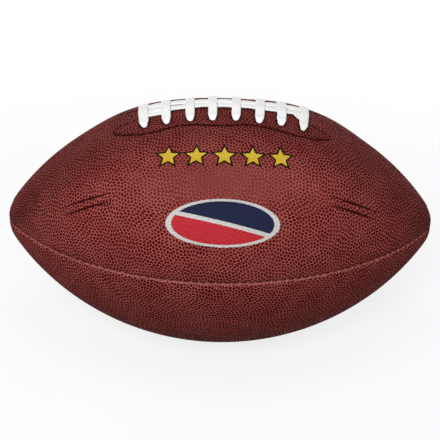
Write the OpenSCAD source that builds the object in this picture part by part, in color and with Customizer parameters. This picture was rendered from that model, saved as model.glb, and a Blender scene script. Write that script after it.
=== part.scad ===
// American football: four pebbled cover panels with turned-in hems, sewn along four seams,
// each with its own lining, over an inflated bladder, and closed by one lace on the top seam.
// X runs along the ball, +Z goes out through the laces, and the origin is the ball's centre.

/* [Ball] */
// Length of the ball from nose to nose
ball_length = 290; // [270:1:310]
// Diameter of the belly
ball_d = 169; // [155:1:180]
// Radius of the blunt noses
nose_r = 25; // [20:1:30]

/* [Cover and lining] */
// Thickness of a cover panel
cover_t = 2.2; // [1.6:0.1:3]
// Thickness of the cloth lining that backs a panel
lining_t = 1; // [0.6:0.1:1.4]
// Depth of the turned-in hem, from the ball's outside
hem_depth = 6; // [4.5:0.5:8]
// Thickness of one turned-in hem
hem_t = 1.8; // [1.2:0.1:2.4]
// Radius of the round groove along a seam
groove_r = 1.1; // [0.9:0.05:1.4]
// Gap left between pieces that only rest on each other
rest_gap = 0.1; // [0.05:0.01:0.2]

/* [Seam thread] */
// Radius of the seam thread
thread_r = 0.35; // [0.25:0.05:0.4]
// Distance from one seam stitch to the next
seam_pitch = 5; // [4:0.5:8]
// Length of a stitch across the seam
stitch_w = 1.2; // [0.8:0.1:1.3]

/* [Lacing] */
// Number of laces that cross the seam
cross_count = 8; // [6:1:10]
// Distance from one cross lace to the next
cross_pitch = 14.8; // [13:0.1:16]
// How far the lacing's middle lies from the ball's middle
lacing_shift = 2.2; // [0:0.1:5]
// Width of the lace
lace_w = 6; // [5:0.1:7]
// Thickness of the lace
lace_t = 1.6; // [1.4:0.1:2.2]
// Width of each of the two strands that lie along the seam
strand_w = 5.3; // [4.5:0.1:6]
// Distance from the seam to the tip of a cross lace, along the cover
cross_reach = 20; // [17:0.5:23]
// Distance from the seam to a lace hole's middle, along the cover
hole_reach = 17; // [14:0.5:19]
// Radius of a lace hole
hole_r = 2.6; // [2.2:0.1:2.8]

/* [Lacing reinforcement] */
// How far the stitched outline reaches past the end laces, towards the noses
outline_past = 15.2; // [12:0.2:22]
// Distance from the seam to the outline's widest stretch, along the cover
outline_reach = 25; // [24:0.5:30]
// How far the reinforcement reaches past its stitches
patch_margin = 3; // [2:0.5:5]
// Thickness of the reinforcement
patch_t = 1.2; // [0.8:0.1:1.6]
// Width of the crease that the outline's stitches lie in
crease_w = 1.4; // [1.1:0.1:2]
// Depth of that crease
crease_depth = 0.8; // [0.5:0.05:1]
// Radius of the outline's thread
outline_thread_r = 0.4; // [0.3:0.05:0.5]
// Length of one stitch of the outline
outline_stitch = 3.4; // [2.5:0.1:4]
// Distance from one stitch of the outline to the next
outline_pitch = 5; // [4.5:0.1:7]

/* [Lace guard] */
// Thickness of the strip between the lace and the bladder
guard_t = 1; // [0.6:0.1:1.6]
// How far the strip reaches past the lace holes on every side
guard_margin = 8; // [6:0.5:10]

/* [Bladder and valve] */
// Wall of the bladder
bladder_t = 0.8; // [0.5:0.1:1.2]
// Angle round the ball from the top seam to the valve, towards the back
valve_angle = 45; // [40:1:60]
// Radius of the valve's stem
stem_r = 4.2; // [3.8:0.1:5]
// How far the stem's mouth lies below the cover's outside
stem_sink = 0.5; // [0.2:0.1:1]
// Length of the stem, from its mouth to its inner end
stem_len = 16; // [14:0.5:20]
// Radius of the flange that holds the stem in the bladder
flange_r = 12; // [10:0.5:15]
// Thickness of that flange
flange_t = 1.2; // [0.8:0.1:1.6]
// Radius of the hole that an inflating needle goes in by
needle_r = 1.15; // [1.1:0.05:1.3]
// Length of the needle hole's straight wall
needle_len = 4; // [3:0.5:5]
// Radius of the self-sealing plug behind the needle hole
plug_r = 2.8; // [2.4:0.1:3.2]
// Length of that plug
plug_len = 8; // [6:0.5:9]

/* [Hidden] */

// One long arc, from belly to nose, meets the nose's own arc at a tangent
belly_r = ball_d / 2;
nose_x = ball_length / 2 - nose_r;
arc_r = (nose_x * nose_x + belly_r * belly_r - nose_r * nose_r) / (2 * (belly_r - nose_r));
arc_drop = arc_r - belly_r;
tangent_angle = atan2(nose_x, arc_drop);

// Depths of the layers below the ball's outside
lining_in = cover_t + lining_t;
patch_in = lining_in + patch_t;
lace_in = patch_in + lace_t;
guard_top = max(lace_in, hem_depth) + rest_gap;
guard_in = guard_top + guard_t;
bladder_in = lining_in + rest_gap;

// Turns that carry a quarter of the ball to the bottom and to the top of its back half
bottom_turn = 0;
top_turn = 90;
// Turns that carry the seam at the back to the others
back_seam = 0;
top_seam = 90;
front_seam = 180;
bottom_seam = 270;

// Shares of the lace's thickness that round its edges and stand up at a cross lace's tips, and of
// its width that round those tips
round_share = 0.4;
tip_rise_share = 0.3;
tip_round_share = 0.53;

cross_x = [for (i = [0 : cross_count - 1]) lacing_shift + (i - (cross_count - 1) / 2) * cross_pitch];
lacing_half = (cross_count - 1) / 2 * cross_pitch;
lacing_edge = lacing_half + lace_w / 2;
outline_half_len = lacing_edge + outline_past;
leg_r = hole_r - rest_gap;
strand_leg_r = strand_w / 2;
// The strands end in the slit's end holes, under the first and the last cross lace
slit_ends = [lacing_shift - lacing_half, lacing_shift + lacing_half];
lace_round = lace_t * round_share;
// The rounded tips are a little wider than the lace, and the strands lie clear under the arch
tip_round = lace_w * tip_round_share;
strand_gap = strand_w * strand_w / (4 * cross_reach) + rest_gap;
// How far the tip of a cross lace stands above the cover where it dives in
tip_rise = lace_t * tip_rise_share;
thread_depth = groove_r - thread_r;
stem_bottom = stem_sink + stem_len;
needle_mouth = needle_r * 2;
countersink = needle_r;
plug_top = stem_sink + countersink + needle_len;
valve_hole_r = stem_r + rest_gap;

// Half of the stitched outline, from its middle to the end by the seam: shares of the lacing's
// half length, of the length past it, and of the outline's reach
outline_shares = [[0, 0, 1], [0.51, 0, 0.985], [0.91, 0, 0.95], [1, 0.45, 0.8], [1, 1, 0.55],
    [1, 0.68, 0.34], [1, 0.03, 0.21]];
overrun = ball_length;
round_fn = 180;
small_fn = 48;
thread_fn = 16;

function surface_r(x) = sqrt(arc_r * arc_r - x * x) - arc_drop;
function surface_tilt(x) = asin(x / arc_r);
function turn_at(x, reach) = reach / surface_r(x) * 180 / PI;
function plan_point(x, reach) = [x, surface_r(x) * sin(turn_at(x, reach))];

// The outline as distances along and across the cover, from the left end to the right
right_half = [for (s = outline_shares)
    [s[0] * lacing_edge + s[1] * outline_past, s[2] * outline_reach]];
left_half = [for (i = [len(right_half) - 1 : -1 : 1]) [-right_half[i][0], right_half[i][1]]];
outline = [for (p = concat(left_half, right_half)) [p[0] + lacing_shift, p[1]]];

function run_to(i) = i == 0 ? 0 : run_to(i - 1) + norm(outline[i] - outline[i - 1]);
outline_runs = [for (i = [0 : len(outline) - 1]) run_to(i)];
outline_len = outline_runs[len(outline) - 1];
function leg_at(d, i = 1) = d <= outline_runs[i] || i == len(outline) - 1 ? i : leg_at(d, i + 1);
function outline_point(d) = let (i = leg_at(d), a = outline[i - 1], b = outline[i])
    a + (b - a) * (d - outline_runs[i - 1]) / norm(b - a);
function outline_heading(d) = let (i = leg_at(d), v = outline[i] - outline[i - 1]) atan2(v[1], v[0]);

// Half of the ball's outline, sunk below the outside by a depth
module half_outline(depth) {
    intersection() {
        union() {
            intersection() {
                translate([-arc_drop, 0]) circle(r = arc_r - depth, $fn = round_fn);
                square([2 * overrun, 2 * (arc_r - depth) * sin(tangent_angle)], center = true);
            }
            for (side = [-1, 1])
                translate([0, side * nose_x]) circle(r = nose_r - depth, $fn = small_fn);
        }
        translate([0, -overrun]) square(2 * overrun);
    }
}

// The whole ball shape, sunk below the outside by a depth
module ball(depth) {
    rotate([0, 90, 0]) rotate_extrude($fn = round_fn) half_outline(depth);
}

module shell(top, bottom) {
    rotate([0, 90, 0]) rotate_extrude($fn = round_fn) difference() {
        half_outline(top);
        half_outline(bottom);
    }
}

// A quarter of a layer, between the bottom seam and the back seam
module quarter(top, bottom) {
    rotate([0, 90, 0]) rotate_extrude(angle = 90, $fn = round_fn) difference() {
        half_outline(top);
        half_outline(bottom);
    }
}

// The strips of space beside a quarter's two seams
module seam_strips(width) {
    translate([-overrun, -overrun, -overrun]) cube([2 * overrun, overrun + width, 2 * overrun]);
    translate([-overrun, -overrun, -width]) cube([2 * overrun, 2 * overrun, overrun]);
}

module nose_groove() {
    translate([nose_x, 0, 0]) rotate_extrude(angle = 90 - tangent_angle, $fn = round_fn)
        translate([nose_r, 0]) circle(r = groove_r, $fn = thread_fn);
}

// The round groove from nose to nose along a seam
module seam_groove(turn) {
    rotate([turn, 0, 0]) {
        translate([0, -arc_drop, 0]) rotate(90 - tangent_angle)
            rotate_extrude(angle = 2 * tangent_angle, $fn = round_fn)
                translate([arc_r, 0]) circle(r = groove_r, $fn = thread_fn);
        nose_groove();
        mirror([1, 0, 0]) nose_groove();
    }
}

// Sets what follows square on the cover, at a place along the ball and a reach from the top seam
module on_cover(x, reach, side) {
    rotate([-side * turn_at(x, reach), 0, 0])
        translate([x, 0, surface_r(x)]) rotate([0, surface_tilt(x), 0]) children();
}

module through_hole(r) {
    translate([0, 0, -guard_top]) cylinder(r = r, h = overrun, $fn = small_fn);
}

module lace_holes() {
    for (x = cross_x) on_cover(x, hole_reach, 1) through_hole(hole_r);
}

module slit_holes() {
    for (x = slit_ends) on_cover(x, 0, 1) through_hole(strand_leg_r + rest_gap);
}

module valve_hole(r) {
    rotate([-valve_angle, 0, 0]) translate([0, 0, belly_r / 2])
        cylinder(r = r, h = overrun, $fn = small_fn);
}

// The stitched outline in plan, as a band of even width
module outline_band(width) {
    plan = [for (p = outline) plan_point(p[0], p[1])];
    for (i = [1 : len(plan) - 1]) {
        v = plan[i] - plan[i - 1];
        translate(plan[i - 1]) rotate(atan2(v[1], v[0]))
            translate([0, -width / 2]) square([norm(v), width]);
    }
    for (p = plan) translate(p) circle(d = width, $fn = small_fn);
}

module outline_crease() {
    intersection() {
        linear_extrude(height = overrun) outline_band(crease_w);
        difference() {
            ball(-crease_depth);
            ball(crease_depth);
        }
    }
}

// The reinforcement in plan, past its stitches by a margin on every side
module patch_plan(margin) {
    grow = [(outline_half_len + margin) / outline_half_len, (outline_reach + margin) / outline_reach];
    edge = [for (p = outline) plan_point(lacing_shift + (p[0] - lacing_shift) * grow[0], p[1] * grow[1])];
    last = len(edge) - 1;
    polygon(concat([[edge[0][0], 0]], edge, [[edge[last][0], 0]]));
}

module guard_plan(margin) {
    half_w = hole_reach + margin;
    translate([lacing_shift, 0]) {
        square([2 * lacing_half, 2 * half_w], center = true);
        for (end = [-1, 1]) translate([end * lacing_half, 0]) circle(r = half_w, $fn = small_fn);
    }
}

// What goes through the panel and lining of the top back
module top_holes(valve) {
    lace_holes();
    slit_holes();
    if (valve) valve_hole(valve_hole_r);
}

// A cover panel of the back half
module panel(turn, valve = false) {
    color("brown") difference() {
        rotate([turn, 0, 0]) difference() {
            union() {
                quarter(0, cover_t);
                intersection() {
                    quarter(0, hem_depth);
                    seam_strips(hem_t);
                }
            }
            seam_groove(back_seam);
            seam_groove(bottom_seam);
        }
        if (turn == top_turn) {
            top_holes(valve);
            outline_crease();
        }
    }
}

// A lining of the back half, which butts against the hems of its panel
module lining(turn, valve = false) {
    color("tan") difference() {
        rotate([turn, 0, 0]) difference() {
            quarter(cover_t, lining_in);
            seam_strips(hem_t);
        }
        if (turn == top_turn) top_holes(valve);
    }
}

module front_half() {
    mirror([0, 1, 0]) children();
}

// Stitches across the bottom of the back seam's groove, between two angles from the belly
module seam_stitches(from, to) {
    count = floor((to - from) / 180 * PI * arc_r / seam_pitch);
    step = (to - from) / count;
    for (i = [0 : count - 1])
        translate([0, -arc_drop, 0]) rotate(-(from + (i + 1 / 2) * step))
            translate([0, arc_r - thread_depth, 0])
                cylinder(r = thread_r, h = stitch_w, center = true, $fn = thread_fn);
}

module seam_thread(turn) {
    color("saddlebrown") rotate([turn, 0, 0]) seam_stitches(-tangent_angle, tangent_angle);
}

// The top seam is sewn only from the lacing's outline to a nose
module top_seam_thread(end) {
    from = asin((lacing_shift * end + lacing_half + lace_w) / arc_r);
    color("saddlebrown") mirror([end > 0 ? 0 : 1, 0, 0]) rotate([top_seam, 0, 0])
        seam_stitches(from, tangent_angle);
}

module lace_patch() {
    color("dimgray") difference() {
        intersection() {
            shell(lining_in, patch_in);
            linear_extrude(height = overrun) patch_plan(patch_margin);
        }
        translate([-overrun, -hem_t, 0]) cube([2 * overrun, 2 * hem_t, overrun]);
        top_holes(false);
    }
}

module patch_stitches(side) {
    count = floor(outline_len / outline_pitch);
    step = outline_len / count;
    color("black") for (i = [0 : count - 1]) {
        p = outline_point((i + 1 / 2) * step);
        on_cover(p[0], p[1], side)
            translate([0, 0, outline_thread_r - crease_depth])
                rotate([0, 90, side * outline_heading((i + 1 / 2) * step)])
                    cylinder(r = outline_thread_r, h = outline_stitch, center = true, $fn = thread_fn);
    }
}

// A strand's cross-section: a flat strip with rounded edges
module strand_section() {
    flat = [lace_t - 2 * lace_round, strand_w - 2 * lace_round];
    square([lace_t, flat[1]], center = true);
    square([flat[0], strand_w], center = true);
    for (a = [-1, 1], b = [-1, 1])
        translate([a * flat[0] / 2, b * flat[1] / 2]) circle(r = lace_round, $fn = thread_fn);
}

// A lace that arches over the strands and dives into a hole at each end
module cross_lace(x) {
    top = 2 * lace_t + strand_gap;
    tip_turn = turn_at(x, cross_reach);
    tip_y = surface_r(x) * sin(tip_turn);
    rise = top - tip_rise + surface_r(x) * (1 - cos(tip_turn));
    bow_r = (tip_y * tip_y + rise * rise) / (2 * rise);
    on_cover(x, 0, 1) intersection() {
        translate([0, 0, top - bow_r]) rotate([0, 90, 0]) rotate_extrude($fn = round_fn)
            translate([bow_r - lace_t / 2, 0]) square([lace_t, lace_w], center = true);
        translate([0, 0, top - bow_r]) linear_extrude(height = 2 * bow_r) {
            square([2 * tip_round, 2 * (tip_y - tip_round)], center = true);
            for (side = [-1, 1])
                translate([0, side * (tip_y - tip_round)]) circle(r = tip_round, $fn = small_fn);
        }
    }
}

// The lengths of lace under the cover, each from a hole to the next one on the same side
module under_laces() {
    intersection() {
        shell(patch_in, lace_in);
        for (i = [0 : cross_count - 2])
            on_cover((cross_x[i] + cross_x[i + 1]) / 2, hole_reach, i % 2 == 0 ? 1 : -1)
                cube([cross_pitch + lace_w, lace_w, 2 * guard_in], center = true);
    }
}

// A leg of the lace goes down its hole, from above the cover into the length below
module lace_leg(r, rise) {
    foot = (patch_in + lace_in) / 2;
    translate([0, 0, -foot]) cylinder(r = r, h = foot + rise, $fn = small_fn);
}

module strands() {
    half = asin(lacing_edge / arc_r);
    middle = asin(lacing_shift / arc_r);
    for (side = [-1, 1])
        translate([0, side * (strand_w + rest_gap) / 2, -arc_drop]) rotate([90, 0, 0])
            rotate(90 - half - middle) rotate_extrude(angle = 2 * half, $fn = round_fn)
                translate([arc_r + lace_t / 2, 0]) strand_section();
}

module bladder_shape(depth) {
    grow = depth - bladder_in;
    difference() {
        ball(depth);
        difference() {
            union() {
                cube([2 * overrun, 2 * (hem_t + rest_gap + grow), 2 * overrun], center = true);
                cube([2 * overrun, 2 * overrun, 2 * (hem_t + rest_gap + grow)], center = true);
            }
            ball(hem_depth + rest_gap + grow);
        }
        difference() {
            linear_extrude(height = overrun)
                for (flip = [0, 1]) mirror([0, flip]) patch_plan(patch_margin + rest_gap + grow);
            ball(patch_in + rest_gap + grow);
        }
        difference() {
            linear_extrude(height = overrun) guard_plan(guard_margin + rest_gap + grow);
            ball(guard_in + rest_gap + grow);
        }
    }
}

module panel_top_front() { front_half() panel(top_turn); }
module panel_bottom_front() { front_half() panel(bottom_turn); }
module panel_top_back() { panel(top_turn, valve = true); }
module panel_bottom_back() { panel(bottom_turn); }
module lining_top_front() { front_half() lining(top_turn); }
module lining_bottom_front() { front_half() lining(bottom_turn); }
module lining_top_back() { lining(top_turn, valve = true); }
module lining_bottom_back() { lining(bottom_turn); }
module seam_thread_front() { seam_thread(front_seam); }
module seam_thread_back() { seam_thread(back_seam); }
module seam_thread_bottom() { seam_thread(bottom_seam); }
module seam_thread_top_left() { top_seam_thread(-1); }
module seam_thread_top_right() { top_seam_thread(1); }
module lace_patch_front() { front_half() lace_patch(); }
module lace_patch_back() { lace_patch(); }
module patch_stitches_front() { patch_stitches(-1); }
module patch_stitches_back() { patch_stitches(1); }

// The lace's zigzag: over the seam, down a hole, along to the next hole and back up
module lace_crosses() {
    color("white") union() {
        difference() {
            for (x = cross_x) cross_lace(x);
            ball(0);
        }
        for (x = cross_x, side = [-1, 1]) on_cover(x, hole_reach, side) lace_leg(leg_r, 0);
        under_laces();
    }
}

// The lace's two strands along the seam, with the legs that go in through the slit's ends
module lace_strands() {
    color("white") union() {
        strands();
        for (x = slit_ends) on_cover(x, 0, 1) lace_leg(strand_leg_r, lace_t / 2);
    }
}

module lace_guard() {
    color("gray") intersection() {
        shell(guard_top, guard_in);
        linear_extrude(height = overrun) guard_plan(guard_margin);
    }
}

module bladder() {
    color("dimgray") difference() {
        bladder_shape(bladder_in);
        bladder_shape(bladder_in + bladder_t);
        valve_hole(stem_r);
    }
}

module valve_body() {
    color("black") rotate([-valve_angle, 0, 0]) difference() {
        union() {
            translate([0, 0, belly_r - stem_bottom]) cylinder(r = stem_r, h = stem_len, $fn = small_fn);
            intersection() {
                shell(bladder_in + bladder_t, bladder_in + bladder_t + flange_t);
                translate([0, 0, belly_r / 2]) cylinder(r = flange_r, h = overrun, $fn = small_fn);
            }
        }
        translate([0, 0, belly_r - stem_sink - countersink])
            cylinder(r1 = needle_r, r2 = needle_mouth, h = countersink, $fn = small_fn);
        translate([0, 0, belly_r - stem_bottom - stem_len])
            cylinder(r = needle_r, h = 2 * stem_len, $fn = small_fn);
        translate([0, 0, belly_r - plug_top - plug_len]) cylinder(r = plug_r, h = plug_len, $fn = small_fn);
    }
}

module valve_plug() {
    color("red") rotate([-valve_angle, 0, 0])
        translate([0, 0, belly_r - plug_top - plug_len]) cylinder(r = plug_r, h = plug_len, $fn = small_fn);
}

panel_top_front();
panel_bottom_front();
panel_top_back();
panel_bottom_back();
lining_top_front();
lining_bottom_front();
lining_top_back();
lining_bottom_back();
seam_thread_front();
seam_thread_back();
seam_thread_bottom();
seam_thread_top_left();
seam_thread_top_right();
lace_patch_front();
lace_patch_back();
patch_stitches_front();
patch_stitches_back();
lace_crosses();
lace_strands();
lace_guard();
bladder();
valve_body();
valve_plug();
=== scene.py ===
import math
import bmesh
import bpy
import numpy as np
from mathutils import Matrix, Vector


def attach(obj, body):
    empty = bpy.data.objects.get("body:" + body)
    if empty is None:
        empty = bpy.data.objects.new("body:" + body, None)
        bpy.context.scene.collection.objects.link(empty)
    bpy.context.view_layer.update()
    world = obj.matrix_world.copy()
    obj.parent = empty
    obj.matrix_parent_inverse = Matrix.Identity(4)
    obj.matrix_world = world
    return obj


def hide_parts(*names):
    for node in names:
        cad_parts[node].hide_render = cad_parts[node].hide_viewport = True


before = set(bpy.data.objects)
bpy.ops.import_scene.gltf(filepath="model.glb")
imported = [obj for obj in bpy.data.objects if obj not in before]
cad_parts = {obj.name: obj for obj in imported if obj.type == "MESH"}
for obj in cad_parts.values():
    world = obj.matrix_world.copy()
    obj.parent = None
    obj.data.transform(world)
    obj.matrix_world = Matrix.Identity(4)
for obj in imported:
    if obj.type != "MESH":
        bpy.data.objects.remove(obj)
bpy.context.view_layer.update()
millimetre = 0.001

# the ball's outline: one long arc on each side that meets the round noses
ball = {"length": 290.0, "belly": 169.0, "noseRadius": 25.0, "coverThickness": 2.2, "hemDepth": 6.0,
        "hemThickness": 1.8}
noseX = ball["length"] / 2 - ball["noseRadius"]
bellyRadius = ball["belly"] / 2
arcRadius = ((noseX ** 2 + bellyRadius ** 2 - ball["noseRadius"] ** 2)
             / (2 * (bellyRadius - ball["noseRadius"])))
arcDrop = arcRadius - bellyRadius
meetAngle = math.atan2(noseX, arcDrop)
arcLength = arcRadius * meetAngle
halfLength = arcLength + ball["noseRadius"] * (math.pi / 2 - meetAngle)


def meridian(s):
    # place along the axis, radius and outward direction at a distance s from the belly
    a = np.abs(s)
    onArc = a <= arcLength
    turn = np.where(onArc, a / arcRadius, meetAngle + (a - arcLength) / ball["noseRadius"])
    x = np.where(onArc, arcRadius * np.sin(turn), noseX + ball["noseRadius"] * np.sin(turn))
    r = np.where(onArc, arcRadius * np.cos(turn) - arcDrop, ball["noseRadius"] * np.cos(turn))
    return x * np.sign(s), r, np.sin(turn) * np.sign(s), np.cos(turn)


def alongTo(x):
    return arcRadius * math.asin(x / arcRadius)


def onBall(s, angle, height):
    # points at an angle round the ball, from the laces towards the front, and a height above the cover
    x, r, nx, nr = meridian(s)
    out = r + nr * height
    return np.stack([x + nx * height, -out * np.sin(angle), out * np.cos(angle)], 1) * millimetre


def smooth(value, low, high):
    t = np.clip((value - low) / (high - low), 0, 1)
    return t * t * (3 - 2 * t)


# the tight lacing pulls the ball straighter along the top: the cover lies flatter behind and before the
# lace, and stands a little fuller past its two ends. The pairs say from where to where each part grows or
# fades, along the ball and across it
pull = {"middle": 2.0, "long": 34.0, "flatBack": 1.8, "flatFront": 0.5, "flatGrows": (8, 30),
        "flatFades": (36, 66), "fullRight": 1.6, "fullLeft": 1.1, "rightGrows": (16, 50),
        "leftGrows": (26, 60), "fullFadesAlong": (68, 104), "fullFades": (34, 70)}


def settle(s, across):
    # how far the cover lies under the plain round shape
    a, out = np.abs(across), s - pull["middle"]
    flat = np.where(across < 0, pull["flatBack"], pull["flatFront"]) * np.exp(-(out / pull["long"]) ** 2)
    flat = flat * smooth(a, *pull["flatGrows"]) * (1 - smooth(a, *pull["flatFades"]))
    full = (pull["fullRight"] * smooth(out, *pull["rightGrows"])
            + pull["fullLeft"] * smooth(-out, *pull["leftGrows"]))
    full = full * (1 - smooth(np.abs(out), *pull["fullFadesAlong"])) * (1 - smooth(a, *pull["fullFades"]))
    return flat - full


def onCover(s, across, height):
    # the same for a distance across the top seam in place of the angle, on the settled cover
    return onBall(s, across / meridian(s)[1], height - settle(s, across))


def newObject(name, bm):
    mesh = bpy.data.meshes.new(name)
    bm.to_mesh(mesh)
    bm.free()
    made = bpy.data.objects.new(name, mesh)
    bpy.context.scene.collection.objects.link(made)
    return made


def places(mesh):
    flat = np.empty(len(mesh.vertices) * 3, np.float32)
    mesh.vertices.foreach_get("co", flat)
    return flat.reshape(-1, 3).astype(float)


def setPlaces(mesh, points):
    mesh.vertices.foreach_set("co", points.astype(np.float32).ravel())
    mesh.update()


def facingOut(mesh):
    bm = bmesh.new()
    bm.from_mesh(mesh)
    bmesh.ops.recalc_face_normals(bm, faces=bm.faces)
    if bm.calc_volume(signed=True) < 0:
        bmesh.ops.reverse_faces(bm, faces=bm.faces)
    bm.to_mesh(mesh)
    bm.free()


def drawnRing(points, steps):
    # a closed loop of points in the YZ plane, drawn out along X in steps of one, with closed ends
    bm = bmesh.new()
    loop = [bm.verts.new((0, y, z)) for y, z in points]
    edges = [bm.edges.new((loop[i], loop[(i + 1) % len(loop)])) for i in range(len(loop))]
    bmesh.ops.spin(bm, geom=loop + edges, cent=(0, 0, 0), axis=(1, 0, 0), dvec=(1, 0, 0), angle=0,
                   steps=steps, use_merge=False, use_duplicate=False)
    bmesh.ops.holes_fill(bm, edges=[e for e in bm.edges if e.is_boundary], sides=0)
    return bm


def twoSheets(rows, columns, innerColumns):
    # a fine grid over a coarse one, joined along their long sides and closed at their ends: X and Y
    # go from -1 to 1 along the ball and across the panel, and Z is 0 on the fine sheet and -1 on the other
    bm = bmesh.new()
    nearly = 1e-4  # how close to a side counts as on it
    for count, level in ((columns, 0), (innerColumns, -1)):
        new = bmesh.ops.create_grid(bm, x_segments=rows, y_segments=count, size=1)["verts"]
        bmesh.ops.translate(bm, verts=new, vec=(0, 0, level))
    for side in (-1, 1):
        bmesh.ops.bridge_loops(bm, edges=[e for e in bm.edges if e.is_boundary
                                          and all(abs(v.co.y - side) < nearly for v in e.verts)])
    bmesh.ops.holes_fill(bm, edges=[e for e in bm.edges if e.is_boundary], sides=0)
    return bm


def setVectors(mesh, name, *columns):
    made = mesh.attributes.new(name, "FLOAT_VECTOR", "POINT")
    made.data.foreach_set("vector", np.stack(columns, 1).astype(np.float32).ravel())


def finishPiece(made, material, node, sharp=60):
    made.data.materials.append(material)
    made.data.polygons.foreach_set("use_smooth", np.ones(len(made.data.polygons), bool))
    made.data.set_sharp_from_angle(angle=math.radians(sharp))
    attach(made, "root")
    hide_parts(node)


def linear(code):
    # the linear colour of an sRGB hex code
    channels = [int(code[i:i + 2], 16) / 255 for i in (0, 2, 4)]
    return tuple(c / 12.92 if c <= 0.04045 else ((c + 0.055) / 1.055) ** 2.4 for c in channels) + (1,)


def put(tree, kind, inputs={}, **settings):
    # adds one node; a node given as an input stands for its first output in use
    made = tree.nodes.new("ShaderNode" + kind)
    for name, value in settings.items():
        setattr(made, name, value)
    for name, value in inputs.items():
        if isinstance(value, bpy.types.Node):
            value = next(output for output in value.outputs if output.enabled)
        if isinstance(value, bpy.types.NodeSocket):
            tree.links.new(value, made.inputs[name])
        else:
            made.inputs[name].default_value = value
    return made


def newMaterial(name):
    made = bpy.data.materials.new(name)
    made.use_nodes = True
    made.node_tree.nodes.clear()
    return made, made.node_tree


# pebbles pressed into the cover: round pits in rows that wander, in millimetres and degrees. Three sets of
# rows cross, and a pit begins where their mean height is over net and is full at pit.
# Each wave has its length, heading, phase, and the heading and amount of its push
pebble = {
    "pitch": 2.45, "turn": 14, "depth": 0.17, "net": -0.48, "pit": -0.05, "bump": 0.4,
    "waves": [(46, 20, 40, 110, 1.9), (33, 95, 200, 5, 1.3), (15, 150, 75, 60, 0.55),
              (10.5, 50, 310, 140, 0.42), (6.3, 115, 120, 25, 0.27), (5.1, 5, 260, 95, 0.24),
              (4.1, 75, 30, 160, 0.16)],
}
rowPull = 2 * math.pi / (pebble["pitch"] * math.sqrt(3) / 2)
rowTurns = [math.radians(pebble["turn"] + 60 * i) for i in range(3)]


def pitMask(u, v):
    # 1 in the middle of a pit and 0 on the net between the pits
    qu, qv = u.copy(), v.copy()
    for wave, heading, phase, push, amount in pebble["waves"]:
        k, a, b = 2 * math.pi / wave, math.radians(heading), math.radians(push)
        swing = amount * np.sin(k * (math.cos(a) * u + math.sin(a) * v) + math.radians(phase))
        qu += swing * math.cos(b)
        qv += swing * math.sin(b)
    height = sum(np.cos(rowPull * (math.cos(a) * qu + math.sin(a) * qv)) for a in rowTurns) / 3
    return smooth(height, pebble["net"], pebble["pit"])


# the lacing and the stitched outline round it, as the drawing has them. The outline's path gives places
# along the ball and across it, and its first and last legs, which run back to the lacing, are faint
lacing = {"count": 8, "pitch": 14.8, "shift": 2.2, "width": 6.0, "thickness": 1.6, "strandWidth": 5.3}
lacingHalf = (lacing["count"] - 1) / 2 * lacing["pitch"]
lacingMiddle = alongTo(lacing["shift"])
crossX = [lacing["shift"] - lacingHalf + i * lacing["pitch"] for i in range(lacing["count"])]
outline = {"pitch": 5.0, "faint": 3, "faintShare": 0.45, "path": [
    (-55.0, 7.5), (-60.5, 9.0), (-66.8, 10.0), (-71.0, 13.0), (-69.5, 17.2), (-61.4, 21.8), (-51.1, 25.4),
    (-40.4, 25.2), (-29.5, 22.9), (-20.0, 22.8), (-8.0, 24.2), (3.0, 24.6), (12.0, 22.9), (20.0, 22.2),
    (32.0, 23.6), (46.4, 26.2), (60.6, 24.0), (69.6, 19.4), (72.5, 16.8), (68.0, 14.0), (54.5, 10.0)]}
outlinePath = np.array(outline["path"])

cross = {
    # how far each tip reaches, its shift and lean, and how pointed and how wide it is
    "reach": [18.4, 18.5, 18.4, 18.9, 18.4, 18.8, 18.5, 18.6],
    "shift": [-0.52, -1.0, -0.35, -0.63, -0.23, 0.14, -1.12, -1.54],
    "lean": [0.066, 0.049, 0.026, 0.007, -0.015, -0.03, -0.017, -0.053],
    "point": [1.15, 0.95, 0.85, 0.85, 0.85, 0.85, 0.85, 1.2],
    "wide": [1.08, 1.02, 1.02, 1.0, 1.0, 1.02, 1.02, 1.0],
    # its height over the strands and on the cover, the slope between them, and its dive into the hole
    "over": 2.55, "rest": 0.62, "slope": (4.2, 13.5), "dive": 2.6, "diveFrom": 3.2, "divePast": 0.6,
    "diveBend": 1.3,
    # the mesh's steps, which are closer together at the tips, the tip's length, thinning and least width,
    # and how much narrower the taut lace is
    "steps": 76, "closer": 2.1, "tip": 5.4, "tipThin": 0.55, "tipLeast": 0.0004, "snug": 0.98,
}


def outlineCrease(s, across, width):
    # the needle's furrow, fainter where the outline runs back towards the lacing
    deepest = np.zeros(s.shape)
    for i, (a, b) in enumerate(zip(outlinePath[:-1], outlinePath[1:])):
        d = b - a
        t = np.clip(((s - a[0]) * d[0] + (across - a[1]) * d[1]) / (d @ d), 0, 1)
        gap = np.hypot(s - a[0] - t * d[0], across - a[1] - t * d[1])
        isFull = outline["faint"] <= i < len(outlinePath) - 1 - outline["faint"]
        share = 1.0 if isFull else outline["faintShare"]
        deepest = np.maximum(deepest, share * np.exp(-(gap / width) ** 2))
    return deepest


# PU-coated microfibre, embossed: a matt brown-red skin whose pits are painted dark as shade in the recesses.
# The darkest red is painted shade for creases, dents, seams and beside the lace, and the pale pink a
# painted highlight on the seams' edges
coverLook = {"net": "C2645E", "netDeep": "B15550", "pit": "440304", "edge": "D88A83", "back": "B99C7C",
             "gold": "DEB523", "goldLight": "ECD153", "shadeColour": "240204", "black": "14100F",
             "navy": "202C49", "red": "CA353F", "white": "DCD9D6",
             # how much darker the top panels are towards the lacing, a painted shade where less light falls
             # on the top, how much darker the painted sheen between the prints is, and how strong the painted
             # shade in creases, dents, seams and beside the lace is
             "lacingShade": 0.4, "sheenDarkening": 0.76, "shadeStrength": 0.92}


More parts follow.
